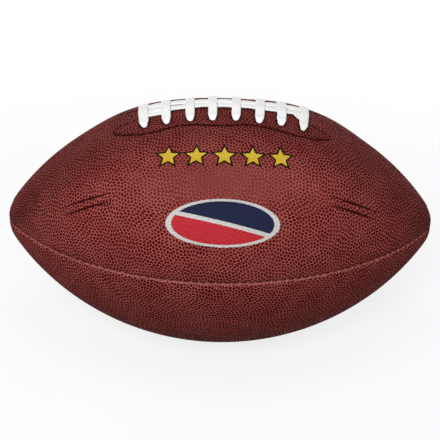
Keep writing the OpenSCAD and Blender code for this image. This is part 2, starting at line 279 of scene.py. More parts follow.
def pebbleNodes(tree, place):
    # the same as pitMask, as nodes
    pushed = place
    for wave, heading, phase, push, amount in pebble["waves"]:
        k, a, b = 2 * math.pi / wave, math.radians(heading), math.radians(push)
        along = put(tree, "VectorMath", {0: place, 1: (k * math.cos(a), k * math.sin(a), 0)},
                    operation="DOT_PRODUCT")
        shifted = put(tree, "Math", {0: along, 1: math.radians(phase)}, operation="ADD")
        swing = put(tree, "Math", {0: shifted}, operation="SINE")
        shift = put(tree, "VectorMath", {0: (amount * math.cos(b), amount * math.sin(b), 0), "Scale": swing},
                    operation="SCALE")
        pushed = put(tree, "VectorMath", {0: pushed, 1: shift}, operation="ADD")
    height = 0.0
    for a in rowTurns:
        along = put(tree, "VectorMath", {0: pushed, 1: (rowPull * math.cos(a), rowPull * math.sin(a), 0)},
                    operation="DOT_PRODUCT")
        row = put(tree, "Math", {0: along}, operation="COSINE")
        height = put(tree, "Math", {0: height, 1: row}, operation="ADD")
    rows = len(rowTurns)
    return put(tree, "MapRange", {"Value": height, "From Min": pebble["net"] * rows,
                                  "From Max": pebble["pit"] * rows}, interpolation_type="SMOOTHSTEP")


# plain printed marks on the top front panel, in millimetres along and across the flat panel
marks = {
    "stars": {"middle": (2.2, 16.2), "pitch": 17.6, "each": 2, "radius": 9.4, "inner": 0.46, "edge": 1.1,
              "shine": 8.0, "armHalf": math.radians(36)},
    "oval": {"middle": (1.8, -26.7), "half": (36.0, 14.8), "rim": 1.5, "slope": 0.22, "band": 1.3},
    "stripes": {"middle": (88.0, -10.0), "half": 20.0, "gap": 2.6, "width": 0.75, "slope": 0.12},
    "soft": 0.12,
}


def printNodes(tree, place, colour):
    # lays the marks over the colour and returns it with the share of print. Each gap is a distance to a
    # mark's edge, below 0 inside it, and ink turns it into 1 inside and 0 outside
    ink = {"From Min": marks["soft"], "From Max": -marks["soft"]}
    black, white = linear(coverLook["black"]), linear(coverLook["white"])
    u, v, _ = put(tree, "SeparateXYZ", {0: place}).outputs

    # five stars in a row: one arm, folded round the star's middle, with an edge from its tip to a notch
    star = marks["stars"]
    du = put(tree, "Math", {0: u, 1: star["middle"][0]}, operation="SUBTRACT")
    dv = put(tree, "Math", {0: v, 1: star["middle"][1]}, operation="SUBTRACT")
    cell = put(tree, "Math", {0: du, 1: star["pitch"]}, operation="DIVIDE")
    whole = put(tree, "Math", {0: cell}, operation="ROUND")
    held = put(tree, "Clamp", {"Value": whole, "Min": -star["each"], "Max": star["each"]})
    start = put(tree, "Math", {0: held, 1: star["pitch"]}, operation="MULTIPLY")
    du = put(tree, "Math", {0: du, 1: start}, operation="SUBTRACT")
    turn = put(tree, "Math", {0: du, 1: dv}, operation="ARCTAN2")
    sector = put(tree, "Math", {0: turn, 1: star["armHalf"]}, operation="ADD")
    folded = put(tree, "Math", {0: sector, 1: 2 * star["armHalf"]}, operation="FLOORED_MODULO")
    centred = put(tree, "Math", {0: folded, 1: star["armHalf"]}, operation="SUBTRACT")
    half = put(tree, "Math", {0: centred}, operation="ABSOLUTE")
    pair = put(tree, "CombineXYZ", {0: du, 1: dv})
    far = put(tree, "VectorMath", {0: pair}, operation="LENGTH")
    sine = put(tree, "Math", {0: half}, operation="SINE")
    cosine = put(tree, "Math", {0: half}, operation="COSINE")
    px = put(tree, "Math", {0: sine, 1: far}, operation="MULTIPLY")
    py = put(tree, "Math", {0: cosine, 1: far}, operation="MULTIPLY")
    radius, inner = star["radius"], star["radius"] * star["inner"]
    notchX, notchY = inner * math.sin(star["armHalf"]), inner * math.cos(star["armHalf"])
    side = Vector((radius - notchY, notchX)).normalized()
    point = put(tree, "CombineXYZ", {0: px, 1: py})
    reach = put(tree, "VectorMath", {0: point, 1: (side.x, side.y, 0)}, operation="DOT_PRODUCT")
    starGap = put(tree, "Math", {0: reach, 1: side.y * radius}, operation="SUBTRACT")
    innerGap = put(tree, "Math", {0: starGap, 1: star["edge"]}, operation="ADD")
    starMask = put(tree, "MapRange", {"Value": starGap, **ink})
    goldMask = put(tree, "MapRange", {"Value": innerGap, **ink})
    shine = put(tree, "MapRange", {"Value": dv, "From Min": -star["shine"], "From Max": star["shine"]})
    gold = put(tree, "Mix", {0: shine, 6: linear(coverLook["gold"]), 7: linear(coverLook["goldLight"])},
               data_type="RGBA")
    colour = put(tree, "Mix", {0: starMask, 6: colour, 7: black}, data_type="RGBA")
    colour = put(tree, "Mix", {0: goldMask, 6: colour, 7: gold}, data_type="RGBA")

    # an oval with a white rim, and a white band between its two colours
    oval = marks["oval"]
    du = put(tree, "Math", {0: u, 1: oval["middle"][0]}, operation="SUBTRACT")
    dv = put(tree, "Math", {0: v, 1: oval["middle"][1]}, operation="SUBTRACT")
    partU = put(tree, "Math", {0: du, 1: oval["half"][0]}, operation="DIVIDE")
    partV = put(tree, "Math", {0: dv, 1: oval["half"][1]}, operation="DIVIDE")
    ratio = put(tree, "CombineXYZ", {0: partU, 1: partV})
    size = put(tree, "VectorMath", {0: ratio}, operation="LENGTH")
    short = oval["half"][1]
    ovalGap = put(tree, "Math", {0: size, 1: short, 2: -short}, operation="MULTIPLY_ADD")
    innerGap = put(tree, "Math", {0: ovalGap, 1: oval["rim"]}, operation="ADD")
    slant = put(tree, "Math", {0: du, 1: oval["slope"], 2: dv}, operation="MULTIPLY_ADD")
    away = put(tree, "Math", {0: slant}, operation="ABSOLUTE")
    bandGap = put(tree, "Math", {0: away, 1: oval["band"]}, operation="SUBTRACT")
    belowMask = put(tree, "MapRange", {"Value": slant, **ink})
    bandMask = put(tree, "MapRange", {"Value": bandGap, **ink})
    ovalMask = put(tree, "MapRange", {"Value": ovalGap, **ink})
    fieldMask = put(tree, "MapRange", {"Value": innerGap, **ink})
    field = put(tree, "Mix", {0: belowMask, 6: linear(coverLook["navy"]), 7: linear(coverLook["red"])},
                data_type="RGBA")
    field = put(tree, "Mix", {0: bandMask, 6: field, 7: white}, data_type="RGBA")
    colour = put(tree, "Mix", {0: ovalMask, 6: colour, 7: white}, data_type="RGBA")
    colour = put(tree, "Mix", {0: fieldMask, 6: colour, 7: field}, data_type="RGBA")

    # two thin stripes towards each end, which taper to points
    stripe = marks["stripes"]
    mirrored = put(tree, "Math", {0: u}, operation="ABSOLUTE")
    du = put(tree, "Math", {0: mirrored, 1: stripe["middle"][0]}, operation="SUBTRACT")
    dv = put(tree, "Math", {0: v, 1: stripe["middle"][1]}, operation="SUBTRACT")
    slant = put(tree, "Math", {0: du, 1: stripe["slope"], 2: dv}, operation="MULTIPLY_ADD")
    away = put(tree, "Math", {0: slant}, operation="ABSOLUTE")
    away = put(tree, "Math", {0: away, 1: stripe["gap"]}, operation="SUBTRACT")
    away = put(tree, "Math", {0: away}, operation="ABSOLUTE")
    part = put(tree, "Math", {0: du, 1: stripe["half"]}, operation="DIVIDE")
    square = put(tree, "Math", {0: part, 1: part}, operation="MULTIPLY")
    width = stripe["width"]
    thin = put(tree, "Math", {0: square, 1: width, 2: -width}, operation="MULTIPLY_ADD")
    stripeGap = put(tree, "Math", {0: away, 1: thin}, operation="ADD")
    stripeMask = put(tree, "MapRange", {"Value": stripeGap, **ink})
    colour = put(tree, "Mix", {0: stripeMask, 6: colour, 7: black}, data_type="RGBA")
    return colour, put(tree, "Math", {0: starMask, 1: ovalMask}, operation="MAXIMUM")


def coverMaterial(name, printed):
    # coverPanel leaves three values at each point of the mesh. flatPlace is the place on the flat panel and
    # the distance to the seam; dents are the crease, the dents joined with the painted shade beside the lace
    # and in the seams, and outside; the third is painted light: shade towards the lacing, highlight on the
    # seams' edges and sheen between the prints
    made, tree = newMaterial(name)
    place = put(tree, "Attribute", attribute_name="flatPlace").outputs["Vector"]
    dents = put(tree, "Attribute", attribute_name="dents").outputs["Vector"]
    tones = put(tree, "Attribute", attribute_name="paintedLight").outputs["Vector"]
    seam = put(tree, "SeparateXYZ", {0: place}).outputs[2]
    crease, dent, outside = put(tree, "SeparateXYZ", {0: dents}).outputs
    paintedLight, light, soft = put(tree, "SeparateXYZ", {0: tones}).outputs
    pit = pebbleNodes(tree, place)

    # the net between the pits, blotched, with a painted highlight in flecks on the seams' rolled edges
    worn = put(tree, "TexNoise", {"Vector": place, "Scale": 0.045, "Detail": 3.0})
    blotch = put(tree, "MapRange", {"Value": worn, "From Min": 0.35, "From Max": 0.68})
    net = put(tree, "Mix", {0: blotch, 6: linear(coverLook["netDeep"]), 7: linear(coverLook["net"])},
              data_type="RGBA")
    # painted highlight: the seams' rolled edges lighter, with streaks at the stitches
    edge = put(tree, "MapRange", {"Value": seam, "From Min": 2.3, "From Max": 0.9, "To Max": 0.9})
    edge = put(tree, "Math", {0: edge, 1: light}, operation="MULTIPLY")
    flecks = put(tree, "TexNoise", {"Vector": place, "Scale": 0.5, "Detail": 2.0})
    fleck = put(tree, "MapRange", {"Value": flecks, "From Min": 0.38, "From Max": 0.56, "To Min": 0.35})
    edge = put(tree, "Math", {0: edge, 1: fleck}, operation="MULTIPLY")
    colour = put(tree, "Mix", {0: edge, 6: net, 7: linear(coverLook["edge"])}, data_type="RGBA")

    # the pits' painted shade, weaker in patches, at the seams, under the painted sheen between the prints and
    # under ink
    patchy = put(tree, "TexNoise", {"Vector": place, "Scale": 0.11, "Detail": 2.0})
    strength = put(tree, "MapRange", {"Value": patchy, "From Min": 0.3, "From Max": 0.62, "To Min": 0.84})
    away = put(tree, "MapRange", {"Value": seam, "From Min": 0.4, "From Max": 1.3, "To Min": 0.45})
    strength = put(tree, "Math", {0: strength, 1: away}, operation="MULTIPLY")
    # painted sheen: the pits fade between the prints
    firm = put(tree, "Math", {0: 1.0, 1: soft}, operation="SUBTRACT")
    strength = put(tree, "Math", {0: strength, 1: firm}, operation="MULTIPLY")
    pitShare = put(tree, "Math", {0: pit, 1: strength}, operation="MULTIPLY")
    if printed:
        colour, share = printNodes(tree, place, colour)
        hidden = put(tree, "MapRange", {"Value": share, "To Min": 0.98, "To Max": 0.16})
        pitShare = put(tree, "Math", {0: pitShare, 1: hidden}, operation="MULTIPLY")
    # painted shade: the pits dark, as shade in the recesses
    colour = put(tree, "Mix", {0: pitShare, 6: colour, 7: linear(coverLook["pit"])}, data_type="RGBA")

    # painted shade in the creases, the dents, the seams and beside the lace; painted shade towards the lacing
    # and the painted sheen's darker colour between the prints; and the bare back of the sheet
    dark = put(tree, "Math", {0: crease, 1: dent}, operation="MAXIMUM")
    dark = put(tree, "Math", {0: dark, 1: coverLook["shadeStrength"]}, operation="MULTIPLY")
    colour = put(tree, "Mix", {0: dark, 6: colour, 7: linear(coverLook["shadeColour"])}, data_type="RGBA")
    # painted shade: the top panels darker towards the lacing, where less light falls on the top
    depth = put(tree, "Math", {0: paintedLight, 1: -coverLook["lacingShade"], 2: 1.0}, operation="MULTIPLY_ADD")
    # painted sheen: the colour darker between the prints
    depth = put(tree, "Math", {0: soft, 1: -coverLook["sheenDarkening"], 2: depth}, operation="MULTIPLY_ADD")
    shaded = put(tree, "VectorMath", {0: colour, "Scale": depth}, operation="SCALE")
    onOutside = put(tree, "MapRange", {"Value": outside, "From Min": 0.02, "From Max": 0.15})
    colour = put(tree, "Mix", {0: onOutside, 6: linear(coverLook["back"]), 7: shaded}, data_type="RGBA")

    grain = put(tree, "TexNoise", {"Vector": place, "Scale": 2.6, "Detail": 2.0})
    rough = put(tree, "MapRange", {"Value": pit, "To Min": 0.44, "To Max": 0.9})
    height = put(tree, "Math", {0: grain, 1: 0.12}, operation="MULTIPLY")
    height = put(tree, "Math", {0: height, 1: pit}, operation="SUBTRACT")
    bump = put(tree, "Bump", {"Height": height, "Distance": pebble["bump"] * millimetre, "Strength": 1.0})
    shader = put(tree, "BsdfPrincipled", {"Base Color": colour, "Roughness": rough, "Normal": bump,
                                          "IOR": 1.46, "Specular IOR Level": 0.05})
    put(tree, "OutputMaterial", {"Surface": shader})
    return made


cover = {
    # the mesh: lines along and across, and where the first ones lie beside a seam
    "rows": 500, "columns": 186, "innerColumns": 9, "shortOfTip": 0.12, "gap": 0.04, "leastRadius": 0.3,
    "edgeSteps": [0.1, 0.28, 0.5, 0.75, 1.05, 1.4, 1.8, 2.3, 2.9],
    # the seam: a rolled edge, lower beside the lacing, a wide dip, and puckers between the stitches
    "rollWidth": 2.1, "rollDepth": 1.4, "topRoll": 0.4, "dip": 0.35, "dipWidth": 7.0,
    "seamPitch": 5.0, "pucker": 0.42, "puckerAt": 1.1, "puckerWidth": 1.6, "puckerGrows": (3, 12),
    # the seam's line of painted shade, and the painted highlight on its edge, which has streaks at the
    # stitches and fades in places. The top panels' side seams have less painted highlight between the streaks
    # than the other seams
    "lineAt": 1.25, "lineWander": 0.4, "lineWidth": 0.65, "lineGrows": (20, 50), "lineBreaks": 1.2,
    "streakWidth": 0.8, "sideLight": 0.15, "sideStreak": 1.1, "otherLight": 0.5, "otherStreak": 0.6,
    "edgeLightAt": [-140, -128, -112, -94, -80, 70, 128, 140],
    "edgeLight": [0.2, 0.75, 0.2, 0.3, 1.0, 0.9, 0.75, 0.2],
    # round the lacing: the needle's furrow, the dents at the tips, the painted shade beside the lace, and how
    # far the painted shade towards the lacing reaches
    "creaseDepth": 0.7, "creaseWidth": 1.0, "troughDepth": 0.25, "troughWidth": 3.0,
    "dentDepth": 0.9, "dentWidth": 2.4, "dentLong": 1.3, "dentBack": 1, "hollowDepth": 0.25,
    "hollowWidth": 6, "shadeCross": 3.1, "shadeCrossWidth": 0.7, "shadeStrand": 5.4, "shadeStrandWidth": 0.6,
    "shadeShare": 0.8, "shaded": (22, 62),
    # the painted sheen between the prints: its middle, its size and how strong it is
    "sheenAt": (2, -1), "sheenSize": (42, 13), "sheenShare": 0.5,
    "valveRadius": 4.3, "valveDepth": 0.75, "valveSlope": 0.7, "valveCalm": (4.6, 6.3),
    # the pits fade beside a seam, and the outside never comes nearer to the inside than this
    "calm": (0.8, 3.5), "calmShare": 0.2, "thinnest": 0.25,
    # the hem's greatest share of a narrow panel, and how far past the hem the sheet begins
    "hemMost": 0.8, "hemPast": 1.02,
    # the distance to the seam that is given to the inside, and what is added to it along the laced seam,
    # so that neither has the painted highlight of a seam's edge
    "insideFar": 9, "lacedFar": 2.0,
}


def coverPanel(name, node, middle, direction, top, valve, material):
    # middle is the angle of the centre line from the laces, and the first edge is the one nearer to them
    columns, inner = cover["columns"], cover["innerColumns"]
    made = newObject(name, twoSheets(cover["rows"], columns, inner))
    row, column, layer = places(made.data).T
    isOutside = layer > -0.5
    column = (column + 1) / 2 * columns
    s = row * (halfLength - cover["shortOfTip"])
    r, nx = meridian(s)[1], meridian(s)[2]
    quarter = math.pi / 4

    # columns are finer beside the two seams
    edge = [0.0] + cover["edgeSteps"]
    width = bellyRadius * math.pi / 2
    between = np.linspace(edge[-1], width - edge[-1], columns + 3 - 2 * len(edge))
    steps = np.concatenate([edge[:-1], between, [width - e for e in edge[-2::-1]]]) / bellyRadius
    turn = np.interp(column, np.arange(columns + 1), steps) - quarter
    across = r * (turn + quarter)
    seam = r * (quarter - np.abs(turn))
    laced = top * (turn < 0)

    # the panel laid flat: each line round the ball becomes an arc of the same length
    tiny = 1e-6  # stands for no bend at all, so that nothing is divided by zero
    bend = -turn * nx
    bend = np.where(np.abs(bend) < tiny, tiny, bend)
    u = s - r * turn * (1 - np.cos(bend)) / bend
    v = -r * turn * np.sin(bend) / bend

    # the seams: sink is how far the outside lies under the round shape. The sines here and below only
    # make it uneven
    share = np.clip(1 - seam / cover["rollWidth"], 0, 1)
    sink = cover["rollDepth"] * np.where(laced, cover["topRoll"], 1) * (1 - np.sqrt(1 - share ** 2))
    sink += cover["dip"] * np.exp(-(seam / cover["dipWidth"]) ** 2)
    lumps = 1 - np.cos(2 * math.pi * s / cover["seamPitch"])
    lumps *= 0.75 + 0.35 * np.sin(s * 0.41 + 2 * middle * np.sign(turn))
    lumps *= cover["pucker"]
    sink += (lumps * np.exp(-((seam - cover["puckerAt"]) / cover["puckerWidth"]) ** 2)
             * smooth(r, *cover["puckerGrows"]))
    calm = smooth(seam, *cover["calm"])

    # the seams' line of painted shade and the painted highlight on their edges, and the painted sheen between
    # the prints, for the material
    crease, dent, paintedShade = np.zeros((3, len(s)))
    fromStitch = np.mod(s, cover["seamPitch"]) - cover["seamPitch"] / 2
    streak = np.exp(-(fromStitch / cover["streakWidth"]) ** 2)
    streak *= 0.75 + 0.35 * np.sin(s * 1.9 + 2 * np.sin(s * 0.61))
    if top:
        # painted shade: a ragged dark line on the top panels' rolled edge where it turns down into the side
        # seam
        ragged = 0.75 + 0.25 * np.sin(s * 2.9 + 3 * np.sin(s * 0.37)) + 0.2 * np.sin(s * 0.83)
        line = seam - cover["lineAt"] - cover["lineWander"] * np.sin(s * 1.7 + 2 * np.sin(s * 0.29))
        paintedShade = (turn > 0) * np.exp(-(line / cover["lineWidth"]) ** 2) * smooth(r, *cover["lineGrows"])
        paintedShade = paintedShade * np.clip(ragged - cover["lineBreaks"] * streak, 0, 1)
    # painted highlight on the seams' rolled edges, strongest at the stitches
    light = np.where(top & (turn > 0), cover["sideLight"] + cover["sideStreak"] * streak,
                     cover["otherLight"] + cover["otherStreak"] * streak)
    light = light * np.interp(s, cover["edgeLightAt"], cover["edgeLight"])
    # painted sheen between the prints, which fades the pits and darkens the colour there
    fromSheen = (((u - cover["sheenAt"][0]) / cover["sheenSize"][0]) ** 2
                + ((v - cover["sheenAt"][1]) / cover["sheenSize"][1]) ** 2)
    soft = cover["sheenShare"] * np.exp(-fromSheen) * (top and direction > 0)

    # the lacing pulls the cover down and dents it at its tips; the furrow, the dents and the cover beside the
    # lace get painted shade
    if top:
        behind = across if direction > 0 else -across
        sink += settle(s, behind)
        crease = outlineCrease(s, across, cover["creaseWidth"])
        sink += cover["creaseDepth"] * crease
        sink += cover["troughDepth"] * outlineCrease(s, across, cover["troughWidth"])
        for i, place in enumerate(crossX):
            line = alongTo(place) + cross["shift"][i] + cross["lean"][i] * behind
            away = np.hypot(s - line, (across - cross["reach"][i] + cover["dentBack"]) / cover["dentLong"])
            dent = np.maximum(dent, np.exp(-(away / cover["dentWidth"]) ** 2))
            sink += cover["hollowDepth"] * np.exp(-(away / cover["hollowWidth"]) ** 2)
            # painted shade beside each cross lace
            beside = (np.maximum(np.abs(s - line) - cover["shadeCross"] * cross["wide"][i], 0)
                      + np.maximum(across - cross["reach"][i], 0))
            paintedShade = np.maximum(paintedShade, np.exp(-(beside / cover["shadeCrossWidth"]) ** 2))
        sink += cover["dentDepth"] * dent
        # painted shade beside the strands
        beside = (np.maximum(across - cover["shadeStrand"], 0)
                  + np.maximum(np.abs(s - lacingMiddle) - lacingHalf, 0))
        paintedShade = np.maximum(paintedShade, np.exp(-(beside / cover["shadeStrandWidth"]) ** 2))
    if valve:
        away = np.hypot(s, r * turn)
        rim = (cover["valveRadius"] + cover["valveSlope"] - away) / cover["valveSlope"]
        sink += cover["valveDepth"] * np.clip(rim, 0, 1)
        calm *= smooth(away, *cover["valveCalm"])
    pits = cover["calmShare"] + (1 - cover["calmShare"]) * calm
    sink += pebble["depth"] * pitMask(u, v) * pits * (1 - crease)
    deepest = ball["coverThickness"] - cover["thinnest"]
    sink = np.minimum(sink, np.where(seam < ball["hemThickness"], np.inf, deepest))

    # the inside: from each seam, lines 0 and 1 are the two edges of the hem's foot, line 2 is where the
    # hem meets the sheet, and the others are spread over the sheet between the hems
    count = np.round(column * inner / columns).astype(int)
    fromEdge = np.minimum(count, inner - count)
    hem = np.minimum(ball["hemThickness"], r * quarter * cover["hemMost"])
    hem = hem * np.array([0, 1, cover["hemPast"]])[np.minimum(fromEdge, 2)]
    sheetHalf = inner / 2 - 2.5  # half the sheet between the hems, counted in lines
    spread = np.abs(count - inner / 2) / sheetHalf
    inward = (quarter - hem / r) * np.where(fromEdge > 2, spread, 1)
    innerTurn = np.sign(count - inner / 2) * inward
    depth = np.where(fromEdge < 2, ball["hemDepth"], ball["coverThickness"])

    limit = quarter - cover["gap"] / np.maximum(r, cover["leastRadius"])
    turn = np.clip(np.where(isOutside, turn, innerTurn), -limit, limit)
    setPlaces(made.data, onBall(s, direction * (middle + turn), -np.where(isOutside, sink, depth)))
    facingOut(made.data)

    # what the material reads
    fromSeam = np.where(isOutside, seam + cover["lacedFar"] * laced, cover["insideFar"])
    setVectors(made.data, "flatPlace", u, v, fromSeam)
    # painted light for the material: shade towards the lacing on the top panels, highlight on the seams'
    # edges and sheen between the prints
    setVectors(made.data, "paintedLight", top * (1 - smooth(across, *cover["shaded"])), light, soft)
    # the crease and the dents, with the painted shade beside the lace and along the seams, which the material
    # darkens
    setVectors(made.data, "dents", crease, np.maximum(dent, cover["shadeShare"] * paintedShade), isOutside * 1.0)
    finishPiece(made, material, node)


plainCover = coverMaterial("embossedMicrofibreCover", False)
printedCover = coverMaterial("embossedMicrofibreCoverPrinted", True)
eighth = math.pi / 4
coverPanel("coverTopFront", "panel_top_front", eighth, 1, True, False, printedCover)
coverPanel("coverBottomFront", "panel_bottom_front", 3 * eighth, 1, False, False, plainCover)
coverPanel("coverTopBack", "panel_top_back", eighth, -1, True, True, plainCover)
coverPanel("coverBottomBack", "panel_bottom_back", 3 * eighth, -1, False, False, plainCover)
print("cover panels made")

# extruded soft PVC: a bright white with a satin face
laceLook = {"white": "EDEDEC", "grey": "E3E2E1", "roughness": 0.42}


def laceMaterial():
    made, tree = newMaterial("extrudedVinylLace")
    place = put(tree, "TexCoord").outputs["Object"]
    cloud = put(tree, "TexNoise", {"Vector": place, "Scale": 160.0, "Detail": 3.0})
    fine = put(tree, "TexNoise", {"Vector": place, "Scale": 1500.0, "Detail": 2.0})
    share = put(tree, "MapRange", {"Value": cloud, "From Min": 0.3, "From Max": 0.75, "To Max": 0.6})
    colour = put(tree, "Mix", {0: share, 6: linear(laceLook["white"]), 7: linear(laceLook["grey"])},
                 data_type="RGBA")
    bump = put(tree, "Bump", {"Height": fine, "Distance": 0.06 * millimetre, "Strength": 0.6})
    shader = put(tree, "BsdfPrincipled", {"Base Color": colour, "Roughness": laceLook["roughness"],
                                          "Normal": bump, "IOR": 1.53, "Specular IOR Level": 0.4})
    put(tree, "OutputMaterial", {"Surface": shader})
    return made


vinylLace = laceMaterial()


def stadium(width, thickness, flatSteps=6, roundSteps=7):
    # a flat strip's section with half-round edges
    r, half = thickness / 2, width / 2 - thickness / 2
    turns = np.linspace(0, math.pi, roundSteps + 1)
    points = [(-half + 2 * half * i / flatSteps, r) for i in range(flatSteps)]
    points += [(half + r * math.sin(a), r * math.cos(a)) for a in turns]
    points += [(half - 2 * half * i / flatSteps, -r) for i in range(1, flatSteps)]
    points += [(-half - r * math.sin(a), -r * math.cos(a)) for a in turns[:-1]]
    return points


section = stadium(lacing["width"] * cross["snug"], lacing["thickness"])
for i, x in enumerate(crossX):
    made = newObject("laceCross{}".format(i + 1), drawnRing(section, cross["steps"]))
    step, w, t = places(made.data).T
    reach = cross["reach"][i]
    part = step / cross["steps"] * 2 - 1
    along = np.sign(part) * reach * (1 - (1 - np.abs(part)) ** cross["closer"])
    far = np.abs(along)
    tip = np.clip((far - (reach - cross["tip"])) / cross["tip"], 0, 1)
    narrow = np.sqrt(np.clip(1 - tip ** 2, cross["tipLeast"], 1)) ** cross["point"][i]
    thin = 1 - cross["tipThin"] * tip ** 3
    height = cross["rest"] + (cross["over"] - cross["rest"]) * (1 - smooth(far, *cross["slope"]))
    dive = smooth(far, reach - cross["diveFrom"], reach + cross["divePast"]) ** cross["diveBend"]
    height -= cross["dive"] * dive
    place = alongTo(x) + cross["shift"][i] + cross["lean"][i] * along
    setPlaces(made.data, onCover(place + w * narrow * cross["wide"][i], along, height + t * thin))
    facingOut(made.data)
    finishPiece(made, vinylLace, "lace_crosses")
print("cross laces made")

# the two long strands swell between the crosses and sink at their ends. The back one leans away from the
# front one towards its ends, where it lies higher and looks wider
strand = {"steps": 180, "past": 1.5, "thin": 0.94, "puff": 0.16, "endLength": 3.0, "endSink": 1.2,
          "endAside": 0.7, "endWide": 0.75, "apart": 0.06, "wander": 0.25, "wanderRate": 0.21, "spread": 1.25,
          "spreadLeft": (10, 30), "spreadRight": (20, 42), "spreadRightShare": 0.8, "lift": 0.55,
          "liftShare": 0.4, "widen": 0.12}
strandFrom = alongTo(lacing["shift"] - lacingHalf) - strand["past"]
strandTo = alongTo(lacing["shift"] + lacingHalf) + strand["past"]
section = stadium(lacing["strandWidth"], lacing["thickness"] * strand["thin"])
for name, side in (("laceStrandFront", 1), ("laceStrandBack", -1)):
    made = newObject(name, drawnRing(section, strand["steps"]))
    step, w, t = places(made.data).T
    along = strandFrom + (strandTo - strandFrom) * (step / strand["steps"])
    wave = np.cos(2 * math.pi * (along - lacingMiddle) / lacing["pitch"])
    end = smooth(np.minimum(along - strandFrom, strandTo - along), 0, strand["endLength"])
    height = lacing["thickness"] / 2 + strand["puff"] * wave * end - strand["endSink"] * (1 - end)
    sideways = (side * (lacing["strandWidth"] / 2 + strand["apart"])
                + strand["wander"] * np.sin(along * strand["wanderRate"] + side))
    if side < 0:
        apart = (smooth(-along, *strand["spreadLeft"])
                 + strand["spreadRightShare"] * smooth(along, *strand["spreadRight"]))
        sideways -= strand["spread"] * apart
        height += strand["lift"] * (strand["liftShare"] + (1 - strand["liftShare"]) * apart)
        w = w * (1 + strand["widen"] * apart)
    aside = strand["endAside"] + (1 - strand["endAside"]) * end
    wide = strand["endWide"] + (1 - strand["endWide"]) * end
    setPlaces(made.data, onCover(along, sideways * aside + w * wide, height + t))
    facingOut(made.data)
    finishPiece(made, vinylLace, "lace_strands")

# the lace's two ends, tucked under the first and the last cross
tails = {"steps": 40, "thickness": 1.2, "rounding": 14, "least": 0.001, "thinnest": 0.5, "each": {
    "laceTailLeft": {"from": (-53.5, 7.3), "to": (-32.5, 7.0), "width": 4.2, "height": 0.55},
    "laceTailRight": {"from": (47.4, 4.2), "to": (53.4, 11.4), "width": 3.3, "height": 0.6}}}
for name, tail in tails["each"].items():
    made = newObject(name, drawnRing(stadium(tail["width"], tails["thickness"]), tails["steps"]))
    step, w, t = places(made.data).T
    part = step / tails["steps"]
    start, way = np.array(tail["from"]), np.array(tail["to"]) - np.array(tail["from"])
    heading = way / np.hypot(*way)
    narrow = np.sqrt(np.clip(1 - np.abs(2 * part - 1) ** tails["rounding"], tails["least"], 1))
    thin = tails["thinnest"] + (1 - tails["thinnest"]) * narrow
    s = start[0] + way[0] * part - heading[1] * w * narrow
    across = start[1] + way[1] * part + heading[0] * w * narrow
    setPlaces(made.data, onCover(s, across, tail["height"] + t * thin))
    facingOut(made.data)
    finishPiece(made, vinylLace, "lace_strands")
print("lace strands and tails made")


def threadMaterial(name, dark, light, rough):
    # painted shade between the plies and a painted highlight on them
    made, tree = newMaterial(name)
    place = put(tree, "TexCoord").outputs["Object"]
    ply = put(tree, "TexWave", {"Vector": place, "Scale": 900.0, "Distortion": 1.5, "Detail": 1.0},
              bands_direction="DIAGONAL").outputs["Fac"]
    colour = put(tree, "Mix", {0: ply, 6: linear(dark), 7: linear(light)}, data_type="RGBA")
    bump = put(tree, "Bump", {"Height": ply, "Distance": 0.05 * millimetre, "Strength": 0.8})
    shader = put(tree, "BsdfPrincipled", {"Base Color": colour, "Roughness": rough, "Normal": bump,
                                          "Specular IOR Level": 0.04})
    put(tree, "OutputMaterial", {"Surface": shader})
    return made


# bonded polyester thread, twisted of plies: waxed black round the lacing, pale brown in the seams, and
# darkened by hands in the top seam
blackThread = threadMaterial("waxedPolyesterThread", "1C0403", "3C0C09", 0.65)
brownThread = threadMaterial("twistedPolyesterThread", "B1625C", "D39088", 0.6)
topSeamThread = threadMaterial("soiledPolyesterThread", "54221F", "74352F", 0.6)

# stitches that lie in the furrow with their ends bent down, and sunk in it where the outline is faint
stitch = {"radius": 0.5, "length": 4.7, "rise": 0.16, "faint": 3, "faintLift": 0.4, "below": 0.12,
          "bend": 0.5, "lookAhead": 0.01}
legs = np.hypot(*np.diff(outlinePath, axis=0).T)
runs = np.concatenate([[0], np.cumsum(legs)])
stitchCount = int(runs[-1] / outline["pitch"])


def onOutline(way):
    return np.array([np.interp(way, runs, outlinePath[:, 0]), np.interp(way, runs, outlinePath[:, 1])])


for name, node, side in (("outlineStitchesFront", "patch_stitches_front", 1),
                         ("outlineStitchesBack", "patch_stitches_back", -1)):
    bm = bmesh.new()
    for k in range(stitchCount):
        way = (k + 0.5) * runs[-1] / stitchCount
        start = onOutline(way)
        heading = onOutline(way + stitch["lookAhead"]) - start
        heading = heading / np.hypot(*heading)
        new = bmesh.ops.create_uvsphere(bm, u_segments=10, v_segments=9, radius=1)["verts"]
        b, c, a = np.array([v.co[:] for v in new]).T
        s = start[0] + heading[0] * a * stitch["length"] / 2 - heading[1] * b * stitch["radius"]
        across = start[1] + heading[1] * a * stitch["length"] / 2 + heading[0] * b * stitch["radius"]
        faint = min(k, stitchCount - 1 - k) < stitch["faint"]
        height = stitch["rise"] * (1 - faint) - cover["creaseDepth"] * (1 - stitch["faintLift"] * faint)
        height = height - stitch["below"] + c * stitch["radius"] - stitch["bend"] * a ** 4
        for vertex, point in zip(new, onCover(s, side * across, height)):
            vertex.co = point
    made = newObject(name, bm)
    facingOut(made.data)
    finishPiece(made, blackThread, node)
print("outline stitches made")


